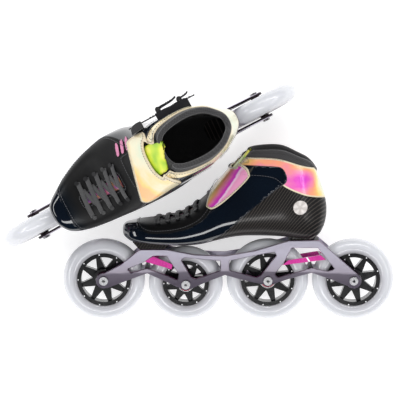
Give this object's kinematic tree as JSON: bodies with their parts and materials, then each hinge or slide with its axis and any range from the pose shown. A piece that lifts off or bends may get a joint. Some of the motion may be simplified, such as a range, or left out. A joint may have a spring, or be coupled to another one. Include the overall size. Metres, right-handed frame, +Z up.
{
  "type": "inline skates",
  "caption": "Pair of low-cut inline speed skates on in-line wheels in a machined frame, one standing and one lying on its side.",
  "frame": {"origin": "middle of the pair's footprint, on the ground", "axes": "+X from the standing skate's toe to its heel, +Y to its lateral side, +Z up"},
  "size_m": [0.4472, 0.3762, 0.232],
  "materials": {
    "accent": "hot pink",
    "steel": "satin",
    "spacer": "plain",
    "brace": "black",
    "frame_metal": "anodised silver-lavender",
    "insole": "black",
    "lace": "dark grey waxed braid",
    "film": "iridescent film",
    "bearing": "steel with red shields",
    "buckle": "black nylon",
    "carbon": "clear-coated carbon twill",
    "lining": "dark grey padded knit",
    "hub": "glossy black",
    "ladder": "black nylon",
    "patent": "high-gloss black patent",
    "tyre": "milky translucent urethane",
    "vamp": "satin black microfibre",
    "pocket": "black webbing",
    "tongue": "lime-green coated fabric"
  },
  "bodies": {
    "standing_wheel_1": {"standing_tyre_1": "tyre", "standing_hub_1": "hub", "standing_bearings_1": "bearing"},
    "standing_wheel_2": {"standing_tyre_2": "tyre", "standing_hub_2": "hub", "standing_bearings_2": "bearing"},
    "standing_wheel_3": {"standing_tyre_3": "tyre", "standing_hub_3": "hub", "standing_bearings_3": "bearing"},
    "standing_wheel_4": {"standing_tyre_4": "tyre", "standing_hub_4": "hub", "standing_bearings_4": "bearing"},
    "standing_lever": {"standing_buckle_lever": "buckle"},
    "standing_tab": {"standing_release_tab": "buckle"},
    "standing_ladder": {"standing_ladder_strap": "ladder"},
    "lying_wheel_1": {"lying_tyre_1": "tyre", "lying_hub_1": "hub", "lying_bearings_1": "bearing"},
    "lying_wheel_2": {"lying_tyre_2": "tyre", "lying_hub_2": "hub", "lying_bearings_2": "bearing"},
    "lying_wheel_3": {"lying_tyre_3": "tyre", "lying_hub_3": "hub", "lying_bearings_3": "bearing"},
    "lying_wheel_4": {"lying_tyre_4": "tyre", "lying_hub_4": "hub", "lying_bearings_4": "bearing"},
    "lying_lever": {"lying_buckle_lever": "buckle"},
    "lying_tab": {"lying_release_tab": "buckle"},
    "lying_ladder": {"lying_ladder_strap": "ladder"},
    "root": {"accent_bars": "accent", "axle_bolts": "steel", "bearing_spacers": "spacer", "buckle_pins": "steel", "cross_braces": "brace", "frame_bolts": "steel", "frame_decks": "frame_metal", "insoles": "insole", "laces": "lace", "lying_ankle_cuff": "film", "lying_buckle_base": "buckle", "lying_carbon_shell": "carbon", "lying_collar_lining": "lining", "lying_instep_strap": "film", "lying_lateral_plate": "frame_metal", "lying_medial_plate": "frame_metal", "lying_patent_wrap": "patent", "lying_vamp": "vamp", "standing_ankle_cuff": "film", "standing_buckle_base": "buckle", "standing_carbon_shell": "carbon", "standing_collar_lining": "lining", "standing_instep_strap": "film", "standing_lateral_plate": "frame_metal", "standing_medial_plate": "frame_metal", "standing_patent_wrap": "patent", "standing_vamp": "vamp", "strap_pockets": "pocket", "tongues": "tongue"}
  },
  "joints": [
    {"name": "standing_wheel_1_spin", "type": "hinge", "parent": "root", "child": "standing_wheel_1", "pos_m": [-0.16857, 0.12873, 0.055], "axis": [0, 1, 0], "continuous": true},
    {"name": "standing_wheel_2_spin", "type": "hinge", "parent": "root", "child": "standing_wheel_2", "pos_m": [-0.05857, 0.12873, 0.05], "axis": [0, 1, 0], "continuous": true},
    {"name": "standing_wheel_3_spin", "type": "hinge", "parent": "root", "child": "standing_wheel_3", "pos_m": [0.05143, 0.12873, 0.055], "axis": [0, 1, 0], "continuous": true},
    {"name": "standing_wheel_4_spin", "type": "hinge", "parent": "root", "child": "standing_wheel_4", "pos_m": [0.16643, 0.12873, 0.055], "axis": [0, 1, 0], "continuous": true},
    {"name": "standing_lever_open", "type": "hinge", "parent": "root", "child": "standing_lever", "pos_m": [0.04293, 0.18273, 0.196], "axis": [0, 0, 1], "range_deg": [0, 100], "stiffness_Nm_per_rad": 0.01, "springref_deg": -17.19},
    {"name": "standing_tab_lift", "type": "hinge", "parent": "root", "child": "standing_tab", "pos_m": [0.07293, 0.18193, 0.196], "axis": [0, 0, 1], "range_deg": [0, 25], "stiffness_Nm_per_rad": 0.01, "springref_deg": -17.19},
    {"name": "standing_ladder_slide", "type": "slide", "parent": "root", "child": "standing_ladder", "axis": [1, 0, 0], "range_m": [0, 0.015]},
    {"name": "lying_wheel_1_spin", "type": "hinge", "parent": "root", "child": "lying_wheel_1", "pos_m": [-0.12706, 0.02364, 0.04706], "axis": [0.0734, 0.1381, -0.9877], "continuous": true},
    {"name": "lying_wheel_2_spin", "type": "hinge", "parent": "root", "child": "lying_wheel_2", "pos_m": [-0.03226, -0.03237, 0.04628], "axis": [0.0734, 0.1381, -0.9877], "continuous": true},
    {"name": "lying_wheel_3_spin", "type": "hinge", "parent": "root", "child": "lying_wheel_3", "pos_m": [0.06718, -0.07965, 0.04706], "axis": [0.0734, 0.1381, -0.9877], "continuous": true},
    {"name": "lying_wheel_4_spin", "type": "hinge", "parent": "root", "child": "lying_wheel_4", "pos_m": [0.16872, -0.13364, 0.04706], "axis": [0.0734, 0.1381, -0.9877], "continuous": true},
    {"name": "lying_lever_open", "type": "hinge", "parent": "root", "child": "lying_lever", "pos_m": [0.12902, 0.05476, 0.01578], "axis": [0.4637, 0.8721, 0.1564], "range_deg": [0, 100], "stiffness_Nm_per_rad": 0.01, "springref_deg": -17.19},
    {"name": "lying_tab_lift", "type": "hinge", "parent": "root", "child": "lying_tab", "pos_m": [0.15545, 0.04057, 0.01657], "axis": [0.4637, 0.8721, 0.1564], "range_deg": [0, 25], "stiffness_Nm_per_rad": 0.01, "springref_deg": -17.19},
    {"name": "lying_ladder_slide", "type": "slide", "parent": "root", "child": "lying_ladder", "axis": [0.8829, -0.4695, 0], "range_m": [0, 0.015]}
  ]
}
